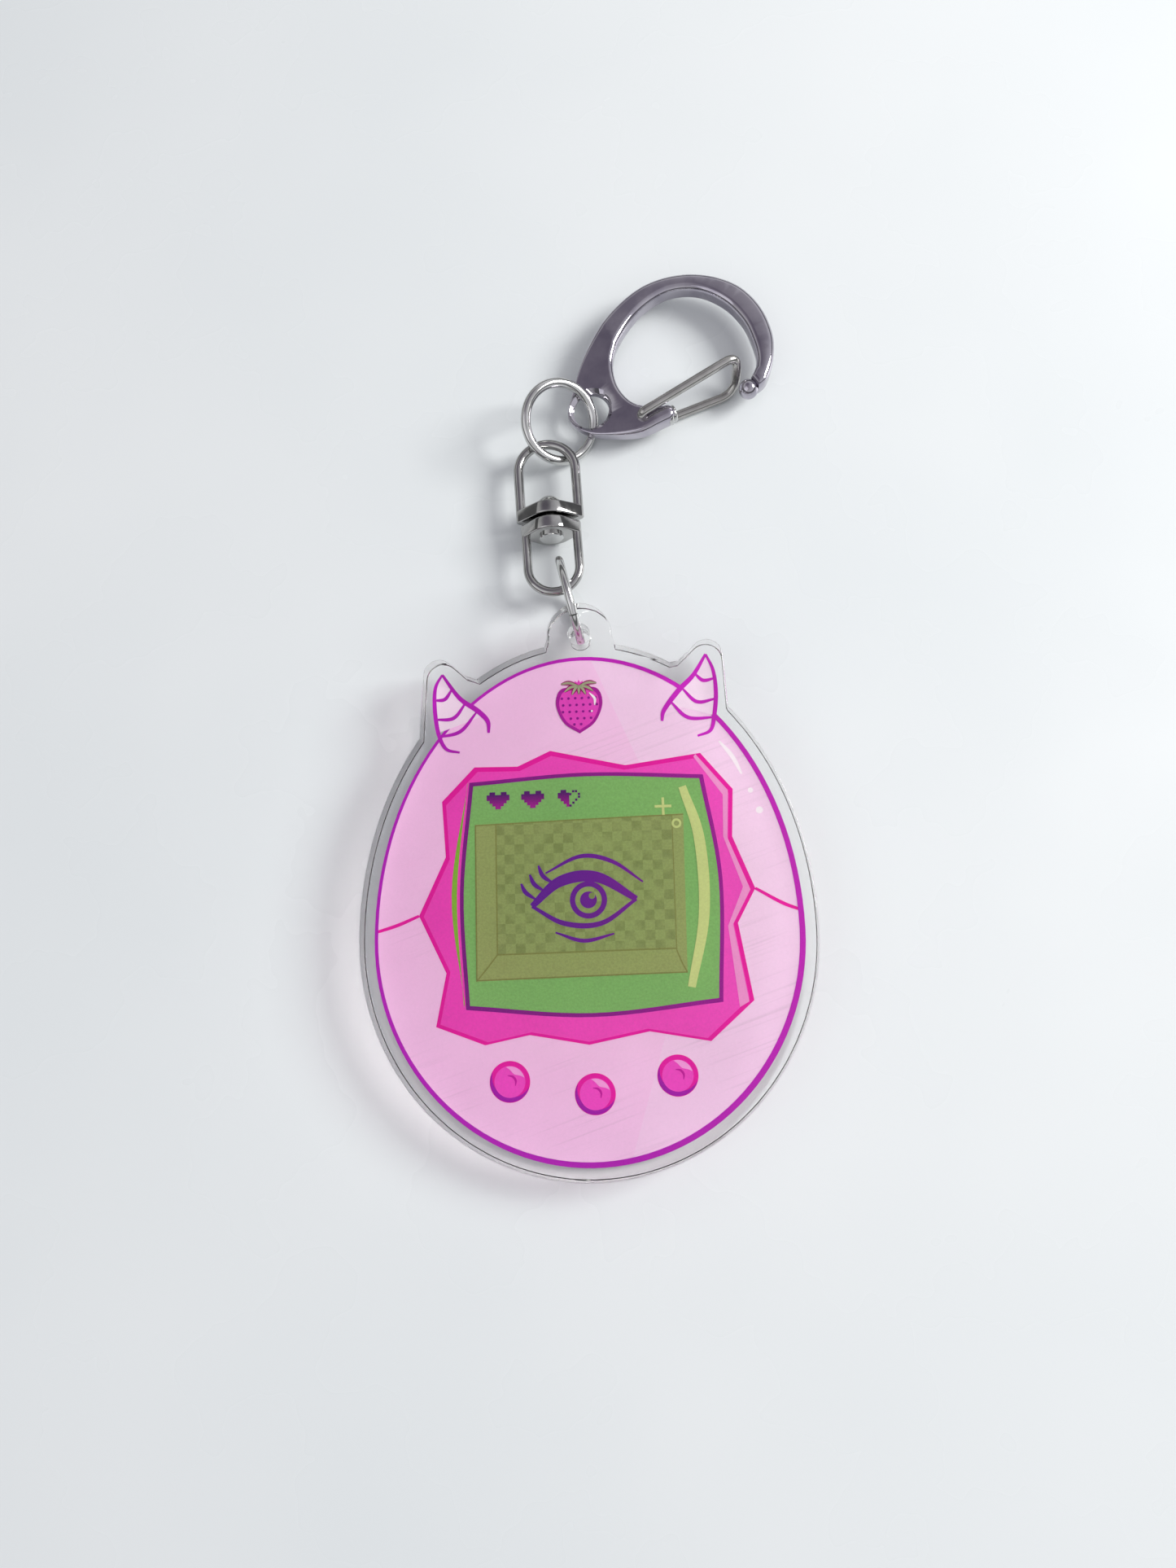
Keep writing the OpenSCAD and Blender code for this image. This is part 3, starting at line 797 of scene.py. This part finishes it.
def build_rings():
    bm = bmesh.new()
    tube(bm, ring_path(JUMP_R, 215, 0.12), JUMP_WIRE - 0.008, 24)
    place = (
        CHARM
        @ Matrix.Translation((-JUMP_OUT * sin(JUMP_YAW), HOLE_Y + JUMP_OUT * cos(JUMP_YAW), JUMP_Z))
        @ Matrix.Rotation(JUMP_YAW, 4, "Z")
        @ turned(y=90)
    )
    finish_piece("bright_jump_ring", bm, place, "jump_ring", BRIGHT, ("jump_ring",))
    bm = bmesh.new()
    tube(bm, ring_path(LINK_R, 150, 0.12), LINK_WIRE - 0.008, 24)
    place = LAID @ Matrix.Translation(LINK_AT) @ turned(z=LINK_SIDE) @ turned(y=-LINK_TILT)
    finish_piece("bright_link_ring", bm, place, "link_ring", BRIGHT, ("link_ring",))


build_rings()

SWIVEL = LAID @ Matrix.Translation((-3.36, 49.7, 2.75)) @ turned(x=-1.5, z=3)
PLATE_GAP, PLATE_T, PLATE_R = 0.4, 1.6, 2.65
RIVET_R, HEAD_R, HEAD_H, HEAD_PLAY = 0.8, 1.7, 1.5, 0.05
TAIL_R, TAIL_H, DOME_SINK = 1.45, 0.4, 0.21


def plate_outline(half, wire_r):
    """A round plate whose sides run out to two ears, one round each leg."""
    lean = acos((PLATE_R - wire_r) / half) * 180 / pi
    outline = arc((0, 0), PLATE_R, lean, 180 - lean, 20)
    outline += arc((-half, 0), wire_r, 180 - lean, 180 + lean, 8)
    outline += arc((0, 0), PLATE_R, 180 + lean, 360 - lean, 20)
    return outline + arc((half, 0), wire_r, -lean, lean, 8)


def half_swivel(name, half, wire_r, length, bore, flip, body, slot):
    """A wire loop on a bored plate. The plate lies across Y."""
    arc_y = length - wire_r - half
    start = PLATE_GAP / 2 + 0.5
    path = [(half, start + (arc_y - start) * i / 6, 0) for i in range(6)]
    path += [(x, y + arc_y, 0) for x, y in arc((0, 0), half, 0, 180, 40)]
    path += [(-half, arc_y - (arc_y - start) * i / 6, 0) for i in range(1, 7)]
    bm = bmesh.new()
    hole = arc((0, 0), bore, 0, 348.75, 31)
    slab(bm, plate_outline(half, wire_r), -PLATE_GAP / 2 - PLATE_T, -PLATE_GAP / 2, 0.22, 4, [hole], 0.05)
    bmesh.ops.transform(bm, matrix=turned(x=90), verts=bm.verts)
    tube(bm, path, wire_r - 0.003, 24)
    bmesh.ops.transform(bm, matrix=Matrix.Scale(-1 if flip else 1, 4, (0, 1, 0)), verts=bm.verts)
    finish_piece(name, bm, SWIVEL, body, GREY_PLATE, (slot,), 35)


def build_rivet():
    """Shank, flat tail and domed head, turned round the swivel's own axis."""
    reach = PLATE_GAP / 2 + PLATE_T
    dome = HEAD_H + DOME_SINK - 0.005
    start = asin(DOME_SINK / dome)
    side = reach + HEAD_PLAY
    profile = [(0.001, -reach - TAIL_H), (TAIL_R - 0.1, -reach - TAIL_H), (TAIL_R, -reach - TAIL_H + 0.1)]
    profile += [(TAIL_R, -reach), (RIVET_R - 0.005, -reach), (RIVET_R - 0.005, side)]
    for i in range(13):
        a = start + (pi / 2 - start) * i / 12
        x, z = dome * cos(a), side - DOME_SINK + dome * sin(a)
        profile.append((min(max(x, 0.001), HEAD_R - 0.005), z))
    bm = bmesh.new()
    verts = [bmesh.ops.create_vert(bm, co=(x, 0, z))["vert"][0] for x, z in profile]
    edges = [bmesh.ops.contextual_create(bm, geom=[a, b])["edges"][0] for a, b in zip(verts, verts[1:])]
    bmesh.ops.spin(
        bm,
        geom=verts + edges,
        cent=(0, 0, 0),
        axis=(0, 0, 1),
        dvec=(0, 0, 0),
        angle=2 * pi,
        steps=40,
        use_merge=True,
    )
    bmesh.ops.remove_doubles(bm, verts=bm.verts, dist=0.002)
    place = SWIVEL @ turned(x=-90)
    finish_piece("domed_rivet", bm, place, "swivel_lower", BRIGHT, ("swivel_rivet",))


half_swivel("looped_lower_half", 3.1, 0.55, 9.55, 0.8, True, "swivel_lower", "swivel_lower_loop")
half_swivel("looped_upper_half", 3.5, 0.6, 10.95, 0.86, False, "swivel_upper", "swivel_upper_loop")
build_rivet()

# ---- clasp ----

CLASP = LAID @ Matrix.Translation((1.91, 64.3, 0)) @ turned(z=23.6)
CLASP_Z, CLASP_T, EYE_R, EYE_BEVEL = 1.42, 2.6, 2.21, 0.5
SLOPE_FROM, SLOPE = 6, tan(radians(11.5))
EYE_EDGE, ARM_EDGE = 0.2, 0.72
NOSE_REACH, NOSE_EDGE = 2.4, 0.5
NOSE, NOSE_R = (18.35, -6.35), 1.2
COLLAR, COLLAR_R = (7.9, -5), 1.05
PIVOT = (4.9, -4.2)
CLASP_OUTER = [
    (7.9, -6.05), (4.1, -5.9), (0.6, -4.2), (-1.9, -2.2), (-2.9, 0.6), (-0.9, 3.4), (1.65, 6.35),
    (4.8, 8.9), (8.2, 10.7), (12, 11.8), (15.4, 11.7), (18.7, 10.6), (21.5, 8.6), (23.5, 5.9),
    (24.4, 2.3), (24, -1.6), (22.5, -4.6), (20.7, -6.5), (19.1, -7.05),
]
CLASP_INNER = [
    (19.1, -5.5), (20.2, -4.5), (21, -3.1), (21.5, -0.8), (21.6, 2), (20.7, 5.3), (18.5, 8.2),
    (15.2, 9.6), (11.4, 9.1), (7.9, 7.3), (5.3, 4.8), (4.2, 1.6), (4.6, -1.2), (5.9, -2.9), (7.9, -3.95),
]


def clasp_top(x):
    """How far the front face lies below its full height at x."""
    return max(0.0, SLOPE_FROM - x) * SLOPE


def clasp_edge(point):
    """The radius of the body's edge: small round the eye, wide along the arm."""
    if hypot(point[0] - NOSE[0], point[1] - NOSE[1]) < NOSE_REACH:
        return NOSE_EDGE
    share = min(max((point[0] + 1.5) / 7, 0), 1)
    return EYE_EDGE + (ARM_EDGE - EYE_EDGE) * share * share * (3 - 2 * share)


def build_clasp():
    outline = curve(CLASP_OUTER, 6)[:-1]
    outline += curve(CLASP_INNER, 6)
    outline += arc(COLLAR, COLLAR_R, 90, -90, 10)[1:-1]
    bm = bmesh.new()
    eye = arc((0, 0), EYE_R, 0, 352.5, 47)
    top = CLASP_Z + CLASP_T
    slab(bm, outline, CLASP_Z, top, clasp_edge, 5, [eye], EYE_BEVEL, 1)
    geometry = bm.verts[:] + bm.edges[:] + bm.faces[:]
    bmesh.ops.bisect_plane(bm, geom=geometry, dist=1e-5, plane_co=(SLOPE_FROM, 0, 0), plane_no=(1, 0, 0))
    middle = CLASP_Z + CLASP_T / 2
    for v in bm.verts:
        if v.co.z > middle:
            low = EYE_BEVEL if v.co.xy.length < EYE_R + 0.1 else EYE_EDGE + 0.01
            v.co.z = max(v.co.z - clasp_top(v.co.x), CLASP_Z + low)
    nose = bmesh.ops.create_uvsphere(
        bm, u_segments=32, v_segments=20, radius=NOSE_R, matrix=Matrix.Translation((*NOSE, middle))
    )["verts"]
    for v in nose:
        v.co.z = middle + (v.co.z - middle) * (CLASP_T / 2 - 0.01) / NOSE_R
    piece = finish_piece("cast_clasp", bm, CLASP, "clasp", CAST_PLATE, ("clasp_body",), 40)
    weigh_normals(piece)
    bm = bmesh.new()
    for along, radius, wire in ((0.35, 0.98, 0.32), (0.92, 0.76, 0.28)):
        ring = [(along, x, z) for x, z in arc((0, 0), radius, 0, 345, 23)]
        tube(bm, ring, wire, 12, closed=True)
    place = CLASP @ Matrix.Translation((*COLLAR, middle)) @ Matrix.Rotation(atan2(-1.0, 9.0), 4, "Z")
    finish_piece("clasp_collar_bead", bm, place, "clasp", BRIGHT, ())


def rounded_path(corners, radius, steps=6):
    """A path through corners, each rounded."""
    p = [Vector(c) for c in corners]
    out = [p[0]]
    for a, b, c in zip(p, p[1:], p[2:]):
        u, v = (a - b).normalized(), (c - b).normalized()
        reach = min(radius, (a - b).length * 0.45, (c - b).length * 0.45)
        for i in range(steps + 1):
            t = i / steps
            out.append((b + u * reach) * (1 - t) ** 2 + b * 2 * t * (1 - t) + (b + v * reach) * t * t)
    return out + [p[-1]]


GATE_WIRE, GATE_FRONT_Z, GATE_BACK_Z = 0.56, 4.7, 0.64


def build_gate():
    corners = [
        (*PIVOT, GATE_FRONT_Z - 1.5),
        (*PIVOT, GATE_FRONT_Z),
        (18.7, -2.55, GATE_FRONT_Z),
        (17.2, -5.05, GATE_BACK_Z),
        (*PIVOT, GATE_BACK_Z),
        (*PIVOT, GATE_BACK_Z + 1.5),
    ]
    bm = bmesh.new()
    tube(bm, rounded_path(corners, 2.0, 9), GATE_WIRE, 20)
    finish_piece("wire_gate", bm, CLASP, "gate", SPRING_WIRE, ("clasp_gate",))


build_clasp()
build_gate()

# ---- table, light and camera ----


def table_top():
    material, tree, shader, _ = new_material("white_table")
    at = object_mm(tree)
    mottle = ramp(tree, noise(tree, at, 0.012, 3.0), 0.3, 0.7)
    color = mix_color(tree, mottle, (0.76, 0.80, 0.81), (0.82, 0.85, 0.855))
    join(tree, color, shader.inputs["Base Color"])
    join(tree, ramp(tree, noise(tree, at, 0.05, 3.0), 0.3, 0.7, 0.22, 0.34), shader.inputs["Roughness"])
    shader.inputs["Specular IOR Level"].default_value = 0.35
    bm = bmesh.new()
    bmesh.ops.create_grid(bm, x_segments=8, y_segments=8, size=0.9)
    bmesh.ops.translate(bm, verts=bm.verts, vec=(0, 0, -0.00003))
    mesh = bpy.data.meshes.new("table_top")
    bm.to_mesh(mesh)
    bm.free()
    mesh.materials.append(material)
    top = bpy.data.objects.new("table_top", mesh)
    bpy.context.scene.collection.objects.link(top)


def soft_light(name, at, aim, size, power, color=(1, 1, 1)):
    data = bpy.data.lights.new(name, "AREA")
    data.shape = "RECTANGLE"
    data.size, data.size_y = size
    data.energy = power
    data.color = color
    lamp = bpy.data.objects.new(name, data)
    bpy.context.scene.collection.objects.link(lamp)
    lamp.location = at
    lamp.rotation_euler = (Vector(aim) - Vector(at)).to_track_quat("-Z", "Y").to_euler()


DARK_CEILING = (-0.28, 0.43, 0.86)  # where the ceiling is darkest
WALL_BAND = 0.22  # the height of a dark band low on the walls, which draws the rings' edges


def surroundings():
    """A pale room with a darker ceiling, so that plated metal has something to mirror."""
    world = bpy.data.worlds.new("room")
    bpy.context.scene.world = world
    world.use_nodes = True
    tree = world.node_tree
    tree.nodes.clear()
    at = add(tree, "ShaderNodeTexCoord")
    parts = add(tree, "ShaderNodeSeparateXYZ")
    join(tree, at.outputs["Object"], parts.inputs[0])
    up = ramp(tree, parts.outputs["Z"], 0.35, 0.95)
    right = ramp(tree, parts.outputs["X"], -0.2, 0.7)
    color = mix_color(tree, up, (0.85, 0.86, 0.86), (0.42, 0.40, 0.44))
    color = mix_color(tree, math(tree, "MULTIPLY", right, 0.7), color, (0.95, 0.96, 1.0))
    facing = add(tree, "ShaderNodeVectorMath", operation="DOT_PRODUCT")
    join(tree, at.outputs["Object"], facing.inputs[0])
    facing.inputs[1].default_value = DARK_CEILING
    color = mix_color(tree, ramp(tree, facing.outputs["Value"], 0.88, 0.99), color, (0.27, 0.25, 0.30))
    from_band = math(tree, "ABSOLUTE", math(tree, "SUBTRACT", parts.outputs["Z"], WALL_BAND))
    band = math(tree, "SUBTRACT", 1.0, ramp(tree, from_band, 0.12, 0.2))
    color = mix_color(tree, math(tree, "MULTIPLY", band, 0.85), color, (0.05, 0.05, 0.055))
    background = add(tree, "ShaderNodeBackground", in_Strength=0.85)
    output = add(tree, "ShaderNodeOutputWorld")
    join(tree, color, background.inputs["Color"])
    join(tree, background.outputs[0], output.inputs["Surface"])


def camera():
    data = bpy.data.cameras.new("camera")
    data.lens = 27.05
    data.sensor_width = 36
    data.clip_start = 0.01
    view = bpy.data.objects.new("camera", data)
    bpy.context.scene.collection.objects.link(view)
    at = Vector((8.904, SHIFT_Y - 10.257, 135.286)) * MM
    aim = Vector((0.449, SHIFT_Y + 17.185, 3.0)) * MM
    roll = Matrix.Rotation(radians(-18.858), 4, "Z")
    turn = (aim - at).to_track_quat("-Z", "Y").to_matrix().to_4x4()
    view.matrix_world = Matrix.Translation(at) @ turn @ roll
    bpy.context.scene.camera = view


table_top()
surroundings()
soft_light("window", (0.50, 0.14, 0.33), (0, 0, 0), (0.24, 0.24), 3.6, (1.0, 0.99, 0.97))
soft_light("fill", (-0.35, -0.25, 0.5), (0, 0, 0), (0.5, 0.5), 0.4, (0.95, 0.97, 1.0))
camera()

scene = bpy.context.scene
scene.view_settings.view_transform = "Standard"
